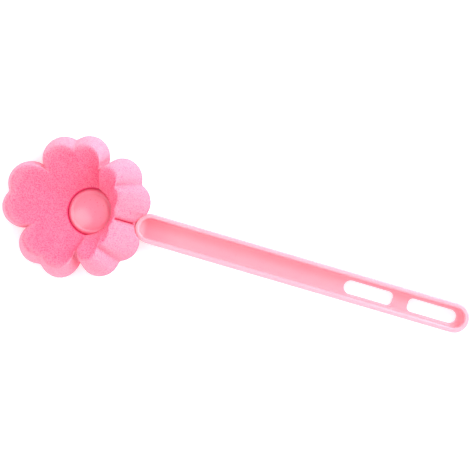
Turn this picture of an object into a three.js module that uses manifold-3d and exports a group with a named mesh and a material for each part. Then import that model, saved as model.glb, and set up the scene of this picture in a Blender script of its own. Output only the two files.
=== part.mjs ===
// Cup brush: a flower-shaped foam sponge on a long channel-section handle,
// held by a domed button that presses into the handle's spigot.
// Millimetres, +Z up. The origin is on the handle's flat back, under the button.
// +X runs along the handle to the hanging end, and the channel opens towards +Z.

import * as THREE from 'three';
import { mergeVertices } from 'three/addons/utils/BufferGeometryUtils.js';
import Module from 'manifold-3d';

const wasm = await Module();
wasm.setup();

// Gap left between pieces that touch on the real object
const CLEARANCE = 0.3;

// Handle bar: a round-ended trough
const NOSE_X = 22.5;
const TIP_X = 199.8;
const BAR_WIDTH = 15.3;
const BAR_HEIGHT = 7.5;
const BAR_EDGE_RADIUS = 1.1;
const RIM_WIDTH = 2.3;
const RIM_ROUNDING = 0.7;
const FLOOR_THICKNESS = 2.2;
const FLOOR_FILLET = 1.2;
const WALL_DRAFT = 0.25;
const SCOOP_LENGTH = 3.4;
const SCOOP_LIP = 0.8;

// Two hanging slots through the trough's floor
const SLOT_WIDTH = 7.0;
const SLOT_LENGTH = 25.8;
const SLOT_BRIDGE = 8.2;
const SLOT_END_WALL = 6.2;
const SLOT_CORNER = 2.5;
const SLOT_EDGE_RADIUS = 0.4;

// Seat under the sponge, its neck to the bar, and the tubular spigot
const SEAT_DIAMETER = 30;
const SEAT_THICKNESS = 3;
const SEAT_EDGE_RADIUS = 0.8;
const NECK_WIDTH = 10.6;
const NECK_START_GAP = 2;
const NECK_RISE = 2;
const SPIGOT_DIAMETER = 11;
const SPIGOT_WALL = 1.7;
const SPIGOT_TOP = 12.2;
const SPIGOT_CHAMFER = 0.5;
const SOCKET_FLOOR = 1.8;

// Button: a hollow dome with a seat boss and a press-in stem
const BUTTON_DIAMETER = 23.7;
const BUTTON_RIM = 1.5;
const BUTTON_DOME = 3.4;
const BUTTON_WALL = 1.7;
const BUTTON_EDGE_RADIUS = 2.5;
const STEM_WALL = 1.5;
const STEM_BORE_DEPTH = 6;
const STEM_LEAD = 0.8;
const STEM_END_GAP = 0.6;
const CRUSH_RIBS = 4;
const CRUSH_RIB_WIDTH = 0.9;
const CRUSH_RIB_PROUD = 0.15;

// Foam flower: petals with a notched tip, each made of two round lobes
const PETALS = 5;
const FIRST_PETAL = THREE.MathUtils.degToRad(36);
const LOBE_RADIUS = 10.7;
const LOBE_CENTRE_RADIUS = 26.9;
const LOBE_HALF_SPREAD = THREE.MathUtils.degToRad(13.6);
const FLOWER_SHIFT = -7.7;
const FAR_PETAL_SWELL = 0.045;
const FAR_PETAL_TWIST = THREE.MathUtils.degToRad(2.5);
const FAR_PETAL_SHARPNESS = 4;
const FOAM_THICKNESS = 20.5;
const FOAM_EDGE_RADIUS = 1.2;
const FOAM_FRONT_RADIUS = 2.6;
const FOAM_BULGE = 0.6;

// How the foam is bent: petals lean in over the button, most of all beside the handle
const PETAL_STIFFNESS = 2.2;
const INWARD_LEAN = 6.2;
const INWARD_LEAN_SWING = 2.6;
const HANDLE_SIDE_PUSH = 9.0;
const PUSH_SHARPNESS = 4.0;
const BACK_LIFT = 0.7;
const HANDLE_SIDE_LIFT = 6.0;
const LIFT_SHARPNESS = 1.7;
const LEAST_RISE = 8;
const FOAM_LIP = 2.3;
const FRONT_DISH = 1.6;

// Facets
const ARC_STEPS = 10;
const TURN_STEPS = 60;
const ROUND_STEPS = 3;
const CAP_STEPS = 6;
const SAMPLES_PER_LOBE = 12;
const FRONT_STATIONS = [0.65, 0.45, 0.2];
const FULL_TURN = 2 * Math.PI;

// Values worked out from the sizes above
const barRadius = BAR_WIDTH / 2;
const noseCentreX = NOSE_X + barRadius;
const seatRadius = SEAT_DIAMETER / 2;
const spigotRadius = SPIGOT_DIAMETER / 2;
const socketRadius = spigotRadius - SPIGOT_WALL;
const buttonRadius = BUTTON_DIAMETER / 2;
const buttonBase = SPIGOT_TOP + CLEARANCE;
const foamBack = SEAT_THICKNESS + CLEARANCE;

// Turns a closed geometry into a solid for joining and cutting
function toSolid(geometry) {
  const bare = geometry.clone();
  bare.deleteAttribute('normal');
  bare.deleteAttribute('uv');
  const merged = mergeVertices(bare, 1e-4);
  return new wasm.Manifold(new wasm.Mesh({
    numProp: 3,
    vertProperties: new Float32Array(merged.attributes.position.array),
    triVerts: new Uint32Array(merged.index.array),
  }));
}

// Turns a solid back into a geometry
function toGeometry(solid) {
  const mesh = solid.getMesh();
  const geometry = new THREE.BufferGeometry();
  geometry.setAttribute('position', new THREE.BufferAttribute(mesh.vertProperties, 3));
  geometry.setIndex(new THREE.BufferAttribute(mesh.triVerts, 1));
  geometry.computeVertexNormals();
  return geometry;
}

// Joins rings of points, each with the same count and turning anticlockwise.
// The first and last rings are capped, or joined to each other when wrapped.
function loft(rings, wrapped = false) {
  const count = rings[0].length;
  const positions = rings.flat().flatMap((point) => point.toArray());
  const faces = [];
  const bands = wrapped ? rings.length : rings.length - 1;
  for (let band = 0; band < bands; band += 1) {
    const lower = band * count;
    const upper = ((band + 1) % rings.length) * count;
    for (let i = 0; i < count; i += 1) {
      const next = (i + 1) % count;
      faces.push(lower + i, lower + next, upper + next);
      faces.push(lower + i, upper + next, upper + i);
    }
  }
  if (!wrapped) {
    const top = (rings.length - 1) * count;
    const flat = (ring) => ring.map((point) => new THREE.Vector2(point.x, point.y));
    const capFaces = (ring) => THREE.ShapeUtils.triangulateShape(flat(ring), []);
    capFaces(rings[0]).forEach(([a, b, c]) => faces.push(c, b, a));
    capFaces(rings.at(-1)).forEach(([a, b, c]) => faces.push(top + a, top + b, top + c));
  }
  const geometry = new THREE.BufferGeometry();
  geometry.setAttribute('position', new THREE.Float32BufferAttribute(positions, 3));
  geometry.setIndex(faces);
  geometry.computeVertexNormals();
  return geometry;
}

// A solid of revolution about Z from [radius, height] points, listed from the bottom up
function revolve(profile) {
  const points = profile.map(([radius, height]) => new THREE.Vector2(radius, height));
  return toSolid(new THREE.LatheGeometry(points, TURN_STEPS).rotateX(Math.PI / 2));
}

// A block along Y, of the given width, whose [x, z] outline turns anticlockwise
function plateAlongY(points, width) {
  const outline = new THREE.Shape(points.map(([x, z]) => new THREE.Vector2(x, z)));
  const geometry = new THREE.ExtrudeGeometry(outline, { depth: width, bevelEnabled: false });
  return toSolid(geometry.rotateX(Math.PI / 2).translate(0, width / 2, 0));
}

// Steps of a quarter circle as [inset, rise] pairs, from lying flat to standing upright
function quarterRound(radius, steps = ROUND_STEPS) {
  return Array.from({ length: steps + 1 }, (_, i) => {
    const angle = (i / steps) * (Math.PI / 2);
    return [radius * (1 - Math.sin(angle)), radius * (1 - Math.cos(angle))];
  });
}

// A rectangle's outline at height z, with one corner radius at x0 and another at x1
function roundedOutline(x0, x1, halfWidth, cornerAtX0, cornerAtX1, z) {
  const corners = [
    [x1 - cornerAtX1, cornerAtX1 - halfWidth, cornerAtX1, -Math.PI / 2],
    [x1 - cornerAtX1, halfWidth - cornerAtX1, cornerAtX1, 0],
    [x0 + cornerAtX0, halfWidth - cornerAtX0, cornerAtX0, Math.PI / 2],
    [x0 + cornerAtX0, cornerAtX0 - halfWidth, cornerAtX0, Math.PI],
  ];
  const points = corners.flatMap(([x, y, radius, start]) => (
    Array.from({ length: ARC_STEPS + 1 }, (_, i) => {
      const angle = start + (i / ARC_STEPS) * (Math.PI / 2);
      return new THREE.Vector3(x + radius * Math.cos(angle), y + radius * Math.sin(angle), z);
    })
  ));
  return points.filter((point, i) => point.distanceTo(points.at(i - 1)) > 1e-6);
}

// The bar's round-ended outline, drawn in by an inset
function barOutline(inset, z) {
  const radius = barRadius - inset;
  return roundedOutline(NOSE_X + inset, TIP_X - inset, radius, radius, radius, z);
}

// The bar's outer block, with rounded edges on its back and along its rim
function barBlock() {
  const back = quarterRound(BAR_EDGE_RADIUS).map(([inset, rise]) => barOutline(inset, rise));
  const rim = quarterRound(RIM_ROUNDING).reverse()
    .map(([inset, drop]) => barOutline(inset, BAR_HEIGHT - drop));
  return toSolid(loft([...back, ...rim]));
}

// The fill at the nose end of the trough: a hollow curve from the floor up to the rim
function noseScoop() {
  const start = NOSE_X + RIM_WIDTH;
  const top = BAR_HEIGHT - SCOOP_LIP;
  const curve = quarterRound(1, 2 * ROUND_STEPS).map(([along, up]) => [
    start + SCOOP_LENGTH * along,
    FLOOR_THICKNESS + (top - FLOOR_THICKNESS) * up,
  ]);
  return plateAlongY([[NOSE_X, 0], [start + SCOOP_LENGTH, 0], ...curve, [NOSE_X, top]], BAR_WIDTH);
}

// The space inside the trough: filleted floor, drafted walls, rounded rim, scooped nose end
function troughSpace() {
  const wallFoot = RIM_WIDTH + WALL_DRAFT;
  const floor = quarterRound(FLOOR_FILLET)
    .map(([inset, rise]) => barOutline(wallFoot + inset, FLOOR_THICKNESS + rise));
  const rim = quarterRound(RIM_ROUNDING)
    .map(([drop, inset]) => barOutline(RIM_WIDTH - inset, BAR_HEIGHT - drop));
  const above = barOutline(RIM_WIDTH - RIM_ROUNDING, BAR_HEIGHT + RIM_ROUNDING);
  return toSolid(loft([...floor, ...rim, above])).subtract(noseScoop());
}

// The space of one slot, from x0 to x1, flared at both faces of the floor to round its edges
function slotSpace(x0, x1, cornerAtX0, cornerAtX1) {
  const ring = (flare, z) => roundedOutline(x0 - flare, x1 + flare, SLOT_WIDTH / 2 + flare,
    cornerAtX0 + flare, cornerAtX1 + flare, z);
  const lower = quarterRound(SLOT_EDGE_RADIUS).map(([flare, rise]) => ring(flare, rise));
  const upper = quarterRound(SLOT_EDGE_RADIUS).reverse()
    .map(([flare, drop]) => ring(flare, FLOOR_THICKNESS - drop));
  const below = ring(SLOT_EDGE_RADIUS, -SLOT_EDGE_RADIUS);
  const above = ring(SLOT_EDGE_RADIUS, BAR_HEIGHT);
  return toSolid(loft([below, ...lower, ...upper, above]));
}

// Both slots: round at their far ends, squarer beside the bridge between them
function slotSpaces() {
  const outerEnd = TIP_X - SLOT_END_WALL;
  const outerStart = outerEnd - SLOT_LENGTH;
  const innerEnd = outerStart - SLOT_BRIDGE;
  const innerStart = innerEnd - SLOT_LENGTH;
  const round = SLOT_WIDTH / 2;
  return slotSpace(innerStart, innerEnd, round, SLOT_CORNER)
    .add(slotSpace(outerStart, outerEnd, SLOT_CORNER, round));
}

// The round plate that carries the sponge
function seatPlate() {
  const lower = quarterRound(SEAT_EDGE_RADIUS).map(([inset, rise]) => [seatRadius - inset, rise]);
  const upper = quarterRound(SEAT_EDGE_RADIUS).reverse()
    .map(([inset, drop]) => [seatRadius - inset, SEAT_THICKNESS - drop]);
  return revolve([[0, 0], ...lower, ...upper, [0, SEAT_THICKNESS]]);
}

// The neck from the seat to the nose, rising into the nose's end wall
function neck() {
  const rampStart = seatRadius + NECK_START_GAP;
  const end = NOSE_X + RIM_WIDTH;
  const top = SEAT_THICKNESS + NECK_RISE;
  return plateAlongY([
    [0, 0], [end, 0], [end, top], [NOSE_X, top], [rampStart, SEAT_THICKNESS], [0, SEAT_THICKNESS],
  ], NECK_WIDTH);
}

// The tube that the sponge slides over, and the blind socket inside it
function spigot() {
  return revolve([
    [0, 0], [spigotRadius, 0], [spigotRadius, SPIGOT_TOP - SPIGOT_CHAMFER],
    [spigotRadius - SPIGOT_CHAMFER, SPIGOT_TOP], [0, SPIGOT_TOP],
  ]);
}

function socketSpace() {
  const above = SPIGOT_TOP + CLEARANCE;
  return revolve([[0, SOCKET_FLOOR], [socketRadius, SOCKET_FLOOR], [socketRadius, above], [0, above]]);
}

// The whole handle is one moulding
function handleGeometry() {
  const body = barBlock().add(neck()).add(seatPlate()).add(spigot());
  return toGeometry(body.subtract(troughSpace()).subtract(slotSpaces()).subtract(socketSpace()));
}

// Height of the button's dome above its rim at a radius: a shallow spherical cap
function domeHeight(radius) {
  const sphere = (buttonRadius ** 2 + BUTTON_DOME ** 2) / (2 * BUTTON_DOME);
  return Math.sqrt(sphere ** 2 - radius ** 2) - (sphere - BUTTON_DOME);
}

// The button: domed cap, hollow below, with a boss that seats on the spigot and a cored stem
function buttonGeometry() {
  const stemRadius = socketRadius - CLEARANCE;
  const stemEnd = SOCKET_FLOOR + STEM_END_GAP;
  const boreRadius = stemRadius - STEM_WALL;
  const innerRadius = buttonRadius - BUTTON_WALL;
  const shoulder = buttonBase + BUTTON_RIM;
  const ceiling = (radius) => shoulder + domeHeight(radius) - BUTTON_WALL;
  const capStart = buttonRadius - BUTTON_EDGE_RADIUS;
  const edge = quarterRound(BUTTON_EDGE_RADIUS, CAP_STEPS).reverse().slice(0, -1).map(([inset, drop]) => [
    buttonRadius - inset,
    shoulder + domeHeight(capStart) - drop,
  ]);
  const capRadii = Array.from({ length: CAP_STEPS + 1 }, (_, i) => capStart * (1 - i / CAP_STEPS));
  const brim = Math.max(ceiling(innerRadius), buttonBase + CLEARANCE);
  const cap = revolve([
    [0, stemEnd + STEM_BORE_DEPTH], [boreRadius, stemEnd + STEM_BORE_DEPTH],
    [boreRadius, stemEnd], [stemRadius - STEM_LEAD / 2, stemEnd], [stemRadius, stemEnd + STEM_LEAD],
    [stemRadius, buttonBase], [spigotRadius, buttonBase],
    [spigotRadius, ceiling(spigotRadius)], [innerRadius, brim],
    [innerRadius, buttonBase], [buttonRadius, buttonBase],
    ...edge, ...capRadii.map((radius) => [radius, shoulder + domeHeight(radius)]),
  ]);
  const ribReach = stemRadius + CRUSH_RIB_PROUD;
  const ribBottom = stemEnd + STEM_LEAD;
  const ribs = Array.from({ length: CRUSH_RIBS }, (_, i) => {
    const box = new THREE.BoxGeometry(STEM_WALL, CRUSH_RIB_WIDTH, buttonBase - ribBottom);
    box.translate(ribReach - STEM_WALL / 2, 0, (buttonBase + ribBottom) / 2);
    return toSolid(box.rotateZ((i / CRUSH_RIBS) * FULL_TURN));
  });
  return toGeometry(ribs.reduce((joined, rib) => joined.add(rib), cap));
}

// Distance from the flower's centre to its cut edge: the farthest reach of its lobes' circles,
// or of the web that joins their centres where two lobes stand apart
function flowerRadius(angle) {
  const reaches = Array.from({ length: 2 * PETALS }, (_, i) => {
    const axis = FIRST_PETAL + Math.floor(i / 2) * (FULL_TURN / PETALS);
    const turn = angle - axis - (i % 2 === 0 ? -1 : 1) * LOBE_HALF_SPREAD;
    const web = LOBE_CENTRE_RADIUS * Math.cos(turn);
    const beyond = LOBE_RADIUS ** 2 - (LOBE_CENTRE_RADIUS * Math.sin(turn)) ** 2;
    return web + Math.sqrt(Math.max(beyond, 0));
  });
  return Math.max(...reaches);
}

// Moves a point of the foam out of the way of the handle's round nose
function keepOffNose(point) {
  const reach = barRadius + CLEARANCE;
  const fromNose = new THREE.Vector2(point.x - noseCentreX, point.y);
  const distance = fromNose.length();
  if (distance >= reach) {
    return point;
  }
  const pushed = fromNose.multiplyScalar(reach / distance);
  return new THREE.Vector3(noseCentreX + pushed.x, pushed.y, point.z);
}

// Keeps a point of the foam clear of the button's straight way out
function keepOffButton(point) {
  const least = buttonRadius + 2 * CLEARANCE;
  const distance = Math.hypot(point.x, point.y);
  const grow = Math.max(1, least / distance);
  return new THREE.Vector3(point.x * grow, point.y * grow, point.z);
}

// How far out on the flower its cut edge is at an angle: 0 at the button, 1 at a lobe's tip
function edgeShare(angle) {
  const tip = LOBE_CENTRE_RADIUS + LOBE_RADIUS;
  return (flowerRadius(angle) - buttonRadius) / (tip - buttonRadius);
}

// An angle about the flower drawn in towards its petal's axis, so that a petal bends as a whole
// and the change of tilt gathers in the valleys
function petalTilt(angle) {
  const pitch = FULL_TURN / PETALS;
  const turn = (angle - FIRST_PETAL) / pitch;
  const petal = Math.round(turn);
  const within = turn - petal;
  const drawnIn = (Math.sign(within) * Math.abs(2 * within) ** PETAL_STIFFNESS) / 2;
  return FIRST_PETAL + (petal + drawnIn) * pitch;
}

// How near an angle is to the handle's side: 1 along the handle, 0 opposite it
function nearHandle(angle) {
  return (1 + Math.cos(angle)) / 2;
}

// The point at a distance from one point towards another
function toward(from, to, distance) {
  return from.clone().addScaledVector(to.clone().sub(from).normalize(), distance);
}

// One slice of the foam flower at an angle about its centre, as a closed loop of points:
// out along the back, up the cut edge, in along the front to the button, and down the hole.
// Heights and lean grow with the distance from the button, so both faces stay smooth sheets.
function foamSlice(angle) {
  const share = edgeShare(angle);
  const tilt = petalTilt(angle);
  const farSide = Math.max(-Math.cos(angle), 0) ** FAR_PETAL_SHARPNESS;
  const bearing = angle + FAR_PETAL_TWIST * farSide;
  const out = new THREE.Vector3(Math.cos(bearing), Math.sin(bearing), 0);
  const reach = flowerRadius(angle) * (1 + FAR_PETAL_SWELL * farSide);
  const lift = BACK_LIFT + HANDLE_SIDE_LIFT * nearHandle(tilt) ** LIFT_SHARPNESS;

  const back = out.clone().multiplyScalar(reach);
  back.x += FLOWER_SHIFT;
  back.z = foamBack + lift * share;
  const backEdge = keepOffNose(back);

  const lean = out.clone().multiplyScalar(-INWARD_LEAN - INWARD_LEAN_SWING * Math.cos(tilt));
  lean.x -= HANDLE_SIDE_PUSH * nearHandle(angle) ** PUSH_SHARPNESS;
  const tipRise = Math.sqrt(Math.max(FOAM_THICKNESS ** 2 - lean.lengthSq(), LEAST_RISE ** 2));
  const lipHeight = SPIGOT_TOP + FOAM_LIP;
  const tipHeight = foamBack + lift + tipRise;
  const frontHeight = (at) => lipHeight + (tipHeight - lipHeight) * (1 - (1 - at) ** FRONT_DISH);
  const leaned = back.clone().addScaledVector(lean, Math.sqrt(share));
  const frontEdge = keepOffNose(keepOffButton(leaned));
  frontEdge.z = frontHeight(share);

  const facing = Math.atan2(backEdge.y, backEdge.x);
  const around = (radius, z) => new THREE.Vector3(radius * Math.cos(facing), radius * Math.sin(facing), z);
  const holeRadius = spigotRadius + CLEARANCE;
  const seatEdge = around(seatRadius + CLEARANCE, foamBack);
  const lip = around(buttonRadius + 2 * CLEARANCE, lipHeight);
  const onFront = (part) => lip.clone().lerp(frontEdge, part).setZ(frontHeight(part * share));
  const middle = backEdge.clone().lerp(frontEdge, 0.5).addScaledVector(out, FOAM_BULGE * share);
  const edgeRadius = THREE.MathUtils.lerp(FOAM_FRONT_RADIUS, FOAM_EDGE_RADIUS, nearHandle(tilt));
  const sideTop = toward(frontEdge, backEdge, edgeRadius);
  const frontStart = toward(frontEdge, lip, edgeRadius);
  const corner = sideTop.clone().lerp(frontStart, 0.5).lerp(frontEdge, 0.5);
  return [
    around(holeRadius, foamBack),
    seatEdge,
    toward(backEdge, seatEdge, FOAM_EDGE_RADIUS),
    toward(backEdge, frontEdge, FOAM_EDGE_RADIUS),
    keepOffNose(middle),
    sideTop,
    corner,
    frontStart,
    ...FRONT_STATIONS.map(onFront),
    lip,
    around(buttonRadius + CLEARANCE, SPIGOT_TOP),
    around(holeRadius, SPIGOT_TOP),
  ];
}

// The foam flower: slices at even steps, so that each valley and notch has a slice of its own
function spongeGeometry() {
  const count = 2 * PETALS * SAMPLES_PER_LOBE;
  const slices = Array.from({ length: count }, (_, i) => foamSlice(FIRST_PETAL + (i / count) * FULL_TURN));
  const rings = slices[0].map((_, ring) => slices.map((slice) => slice[ring]));
  return loft(rings, true);
}

const pinkPlastic = { color: 0xff9db8, roughness: 0.35, metalness: 0 };
const pinkFoam = { color: 0xff7fa8, roughness: 0.95, metalness: 0 };

const PIECES = [
  ['handle', handleGeometry, pinkPlastic],
  ['sponge', spongeGeometry, pinkFoam],
  ['button', buttonGeometry, pinkPlastic],
];

const cupBrush = new THREE.Group();
for (const [name, makeGeometry, finish] of PIECES) {
  const piece = new THREE.Mesh(makeGeometry(), new THREE.MeshStandardMaterial(finish));
  piece.name = name;
  cupBrush.add(piece);
}

export default cupBrush;
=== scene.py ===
"""Cup brush: a foam flower on a moulded trough handle, held by a domed button.

Run as a script in Blender 4.5. Settings are Blender lengths, angles and colours. The functions below
them take lengths in millimetres, and link_mesh turns those into metres.
"""

from types import SimpleNamespace

import bmesh
import bpy
import numpy as np
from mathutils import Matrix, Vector


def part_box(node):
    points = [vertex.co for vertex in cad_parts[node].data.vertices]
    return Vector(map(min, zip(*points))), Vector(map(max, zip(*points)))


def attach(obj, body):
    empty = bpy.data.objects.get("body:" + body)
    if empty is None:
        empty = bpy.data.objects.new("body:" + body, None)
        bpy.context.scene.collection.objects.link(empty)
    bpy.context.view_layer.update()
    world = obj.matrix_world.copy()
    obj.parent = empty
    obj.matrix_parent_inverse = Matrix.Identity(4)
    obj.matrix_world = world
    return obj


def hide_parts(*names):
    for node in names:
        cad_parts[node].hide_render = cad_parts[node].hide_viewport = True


bl_info = {
    "name": "Cup brush",
    "version": (1, 0, 0),
    "blender": (4, 5, 0),
    "location": "3D View > Sidebar > Cup brush",
    "description": "Builds a flower-headed foam cup brush and a plain studio around it",
    "category": "Object",
}

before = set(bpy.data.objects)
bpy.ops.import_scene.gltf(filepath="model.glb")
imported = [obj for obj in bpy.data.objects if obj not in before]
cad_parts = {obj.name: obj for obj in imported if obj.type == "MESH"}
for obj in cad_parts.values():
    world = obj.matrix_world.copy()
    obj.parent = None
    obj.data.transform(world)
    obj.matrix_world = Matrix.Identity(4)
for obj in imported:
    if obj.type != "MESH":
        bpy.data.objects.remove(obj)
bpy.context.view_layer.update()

MM = 0.001
TURN = 2 * np.pi
HANDLE_LOW, HANDLE_HIGH = (np.array(corner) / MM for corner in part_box("handle"))
BUTTON_LOW, BUTTON_HIGH = (np.array(corner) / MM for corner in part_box("button"))

# Decimals of a millimetre that a setting keeps, and the square picture's side in points
DECIMALS = 4
PICTURE_SIDE = 470

# Gap between pieces that fit together, how far a cutting solid passes the face that it cuts, and
# the distance under which two points of a seam are one, in mm
CLEARANCE = 0.3
OVERCUT = 1.0
DOUBLED_POINT = 0.001


def linear(hex_colour):
    """An sRGB hex colour as linear RGBA: each channel through the sRGB curve."""
    channels = np.array([int(hex_colour[i:i + 2], 16) for i in (1, 3, 5)]) / 255
    low = channels / 12.92
    high = ((channels + 0.055) / 1.055) ** 2.4
    return (*np.where(channels <= 0.04045, low, high).tolist(), 1.0)


def length_prop(name, default, description):
    """A length: its default is given in millimetres and kept as a Blender length."""
    return bpy.props.FloatProperty(
        name=name, description=description, default=float(default) * MM, subtype="DISTANCE", precision=5)


def place_prop(name, default, description):
    """A point: its default is given in millimetres and kept as Blender lengths."""
    return bpy.props.FloatVectorProperty(
        name=name, description=description, default=[value * MM for value in default], subtype="TRANSLATION")


def angle_prop(name, default, description):
    """An angle: its default is given in degrees."""
    return bpy.props.FloatProperty(
        name=name, description=description, default=np.radians(default), subtype="ANGLE")


def share_prop(name, default, description):
    """A share from 0 to 1."""
    return bpy.props.FloatProperty(
        name=name, description=description, default=default, min=0.0, max=1.0, subtype="FACTOR")


def number_prop(name, default, description):
    """A plain number, such as an exponent or a factor."""
    return bpy.props.FloatProperty(name=name, description=description, default=default)


def power_prop(name, default, description):
    """The power of a light, in watts."""
    return bpy.props.FloatProperty(name=name, description=description, default=default, unit="POWER")


def colour_prop(name, default, description):
    """A colour: its default is given as an sRGB hex value."""
    return bpy.props.FloatVectorProperty(
        name=name, description=description, default=linear(default), size=4, min=0.0, max=1.0,
        subtype="COLOR")


class HandleSettings(bpy.types.PropertyGroup):
    """Sizes and colour of the moulded handle"""
    nose_x: length_prop("Nose", 22.5, "Distance from the button's axis to the bar's near end")
    tip_x: length_prop("Tip", HANDLE_HIGH[0], "Distance from the button's axis to the hanging end")
    bar_width: length_prop("Bar width", 15.3, "Width of the bar across its rims")
    bar_height: length_prop("Bar height", 7.5, "Height of the bar from its back to its rim")
    edge_radius: length_prop("Back edge", 1.1, "Rounding of the bar's back edges")
    rim_width: length_prop("Rim width", 2.3, "Width of the trough's rim")
    rim_rounding: length_prop("Rim rounding", 0.7, "Rounding of the rim's edges")
    floor_thickness: length_prop("Floor", 2.2, "Thickness of the trough's floor")
    floor_fillet: length_prop("Floor fillet", 1.2, "Fillet between the floor and the walls")
    wall_draft: length_prop("Draft", 0.25, "How far the walls lean in towards the floor")
    scoop_length: length_prop("Scoop length", 3.4, "Length of the scooped nose end")
    scoop_lip: length_prop("Scoop lip", 0.8, "Depth of the scoop's top below the rim")
    slot_width: length_prop("Slot width", 7.0, "Width of the hanging slots")
    slot_length: length_prop("Slot length", 25.8, "Length of each hanging slot")
    slot_bridge: length_prop("Slot bridge", 8.2, "Material left between the slots")
    slot_end_wall: length_prop("Slot end wall", 6.2, "Material past the outer slot")
    slot_corner: length_prop("Slot corner", 2.5, "Corner radius beside the bridge")
    slot_edge: length_prop("Slot edge", 0.4, "Rounding of the slots' edges")
    seat_diameter: length_prop("Seat", HANDLE_HIGH[1] - HANDLE_LOW[1], "Diameter of the seat plate")
    seat_thickness: length_prop("Seat thickness", 3.0, "Thickness of the seat plate")
    seat_edge: length_prop("Seat edge", 0.8, "Rounding of the seat plate's edges")
    neck_width: length_prop("Neck width", 10.6, "Width of the neck under the foam")
    neck_gap: length_prop("Neck start", 2.0, "Distance from the seat plate to the neck's ramp")
    neck_rise: length_prop("Neck rise", 2.0, "Rise of the neck's ramp")
    spigot_diameter: length_prop("Spigot", 11.0, "Outer diameter of the spigot")
    spigot_wall: length_prop("Spigot wall", 1.7, "Wall of the spigot")
    spigot_chamfer: length_prop("Spigot chamfer", 0.5, "Chamfer on the spigot's mouth")
    spigot_top: length_prop("Spigot top", HANDLE_HIGH[2], "Height of the spigot above the back")
    socket_floor: length_prop("Socket floor", 1.8, "Material under the spigot's socket")
    gloss: share_prop("Gloss", 0.5, "Strength of the handle's mirror light")
    colour: colour_prop("Colour", "#ffb0be", "Pink of the moulded polypropylene")


class SpongeSettings(bpy.types.PropertyGroup):
    """Sizes and colours of the foam flower"""
    petals: bpy.props.IntProperty(name="Petals", default=5, min=3, max=9, description="Number of petals")
    lobe_radius: length_prop("Lobe radius", 10.7, "Radius of one round lobe of a petal")
    lobe_centre: length_prop("Lobe centre", 26.9, "Distance from the flower's centre to a lobe's centre")
    lobe_spread: angle_prop("Lobe spread", 13.6, "Angle from a petal's axis to each of its lobes")
    blend: number_prop("Notch blend", 55.0, "How sharp the notches between lobes are; high is sharp")
    shift: length_prop("Shift", -7.7, "Distance from the button's axis to the flower's centre")
    swell: share_prop("Far swell", 0.045, "Extra reach of the petal opposite the handle")
    twist: angle_prop("Far twist", 2.5, "Turn of the petal opposite the handle")
    far_sharpness: number_prop("Far sharpness", 4.0, "How closely swell and twist keep to the far petal")
    thickness: length_prop("Thickness", 20.5, "Thickness of the foam sheet")
    edge_radius: length_prop("Edge radius", 1.2, "Rounding of the cut edges")
    front_radius: length_prop("Front radius", 2.6, "Rounding of the front edges of the open petals")
    bulge: length_prop("Bulge", 0.6, "How far the cut edges swell outwards")
    lean: length_prop("Lean", 6.2, "How far the petals lean in over the button")
    lean_swing: length_prop("Lean swing", 2.6, "Extra lean on the handle's side")
    lean_share: number_prop("Lean share", 0.5, "How much less the notches lean than the lobes; 0 is alike")
    push: length_prop("Push", 9.0, "How far the handle pushes the petals beside it")
    push_sharpness: number_prop("Push sharpness", 4.0, "How closely the push keeps to the handle's side")
    back_lift: length_prop("Back lift", 0.7, "Rise of the foam's back at a petal's tip")
    handle_lift: length_prop("Handle lift", 6.0, "Extra rise of the foam's back beside the handle")
    lift_sharpness: number_prop("Lift sharpness", 1.7, "How closely the lift keeps to the handle's side")
    least_rise: length_prop("Least rise", 8.0, "Least height of a cut edge")
    crease: number_prop("Crease", 2.2, "How sharply one petal's tilt changes to the next; 1 is evenly")
    lip: length_prop("Lip", 2.3, "Height of the foam round the button above its squeezed middle")
    dish: number_prop("Dish", 1.6, "How quickly the front rises from the button")
    button_gap: length_prop("Button gap", 0.5, "Gap between the foam's lip and the button on the open side")
    overhang: length_prop("Overhang", 2.6, "How far the raised petals bulge over the button's rim")
    nose_gap: length_prop("Nose gap", -0.5, "Gap between foam and the bar's nose; below 0 it rests on it")
    nose_reach: angle_prop("Nose reach", 10.0, "Half the angle over which the bar's nose presses the foam")
    groove: length_prop("Groove", 2.2, "Depth of the crease where two raised petals press together")
    groove_width: length_prop("Groove width", 1.3, "How far a crease draws the lobes in on either side")
    seam_depth: share_prop("Seam depth", 0.8, "Depth of the crease in a petal's tip, against the groove")
    seam_width: number_prop("Seam width", 1.4, "Width of the crease in a petal's tip, against the groove")
    seam_fade: share_prop("Seam fade", 0.3, "What is left of that crease at the foam's back")
    fold: length_prop("Fold", 4.0, "Step where a raised petal folds over its flatter neighbour")
    pore: length_prop("Pore", 1.2, "Spacing of the foam's open cells")
    pore_depth: length_prop("Pore depth", 0.16, "Depth of the open cells on the surface")
    colour: colour_prop("Colour", "#ff7595", "Pink of the foam's skin")
    # The cut pinks are paler partly as the cut foam's own colour and partly as painted light, where cut
    # faces turn to the light
    cut_and_lit_colour: colour_prop("Cut colour", "#ff95ab", "Paler pink of the die-cut edges")
    pore_colour: colour_prop("Pore colour", "#e03a70", "Deeper pink inside the open cells")
    cut_and_lit_pore_colour: colour_prop("Cut pore colour", "#d0608c", "Pink inside the open cells of the cut edges")
    # The deep colour is painted shade: crimson in the gap round the button and in the pressed creases
    crimson_shade_colour: colour_prop("Deep colour", "#e02c62", "Crimson of the squeezed foam beside the button")


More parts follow.
